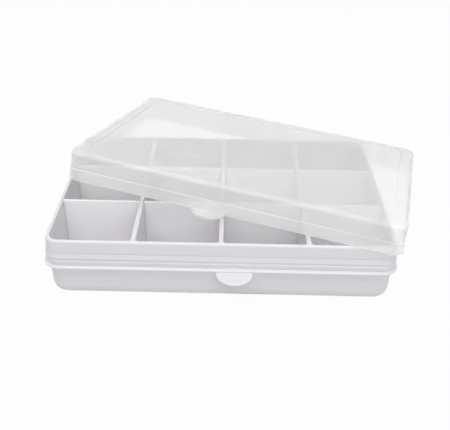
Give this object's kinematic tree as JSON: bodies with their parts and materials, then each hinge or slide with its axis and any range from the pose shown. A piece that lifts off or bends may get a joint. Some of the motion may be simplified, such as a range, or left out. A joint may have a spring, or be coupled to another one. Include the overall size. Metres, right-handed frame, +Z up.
{
  "type": "divided snack box",
  "caption": "Divided snack box: a tray with lift-out cross dividers that make compartments, and a clear frosted lid lying askew on its rim.",
  "frame": {"origin": "centre of the tray's flat base", "axes": "+X along the long side to the right as seen from the finger tabs, +Y to the back, +Z up"},
  "size_m": [0.3107, 0.2512, 0.0912],
  "materials": {
    "tray_plastic": "satin moulded polypropylene with a fine grain",
    "divider_plastic": "smooth satin moulded polypropylene",
    "lid_plastic": "frosted translucent polypropylene"
  },
  "bodies": {
    "tray": {"tray": "tray_plastic"},
    "lid": {"lid": "lid_plastic"},
    "divider_front_1": {"divider_front_1": "divider_plastic"},
    "divider_front_2": {"divider_front_2": "divider_plastic"},
    "divider_front_3": {"divider_front_3": "divider_plastic"},
    "divider_front_4": {"divider_front_4": "divider_plastic"},
    "divider_rear_1": {"divider_rear_1": "divider_plastic"},
    "divider_rear_2": {"divider_rear_2": "divider_plastic"},
    "divider_rear_3": {"divider_rear_3": "divider_plastic"},
    "divider_rear_4": {"divider_rear_4": "divider_plastic"}
  },
  "joints": [
    {"name": "lid_lift", "type": "slide", "parent": "tray", "child": "lid", "axis": [0.1035, 0.1157, 0.9879], "range_m": [0, 0.12]},
    {"name": "divider_front_1_lift", "type": "slide", "parent": "tray", "child": "divider_front_1", "axis": [0, 0, 1], "range_m": [0, 0.0131]},
    {"name": "divider_front_2_lift", "type": "slide", "parent": "tray", "child": "divider_front_2", "axis": [0, 0, 1], "range_m": [0, 0.0252]},
    {"name": "divider_front_3_lift", "type": "slide", "parent": "tray", "child": "divider_front_3", "axis": [0, 0, 1], "range_m": [0, 0.0184]},
    {"name": "divider_front_4_lift", "type": "slide", "parent": "tray", "child": "divider_front_4", "axis": [0, 0, 1], "range_m": [0, 0.0117]},
    {"name": "divider_rear_1_lift", "type": "slide", "parent": "tray", "child": "divider_rear_1", "axis": [0, 0, 1], "range_m": [0, 0.007]},
    {"name": "divider_rear_2_lift", "type": "slide", "parent": "tray", "child": "divider_rear_2", "axis": [0, 0, 1], "range_m": [0, 0.0187]},
    {"name": "divider_rear_3_lift", "type": "slide", "parent": "tray", "child": "divider_rear_3", "axis": [0, 0, 1], "range_m": [0, 0.0117]},
    {"name": "divider_rear_4_lift", "type": "slide", "parent": "tray", "child": "divider_rear_4", "axis": [0, 0, 1], "range_m": [0, 0.005]}
  ]
}
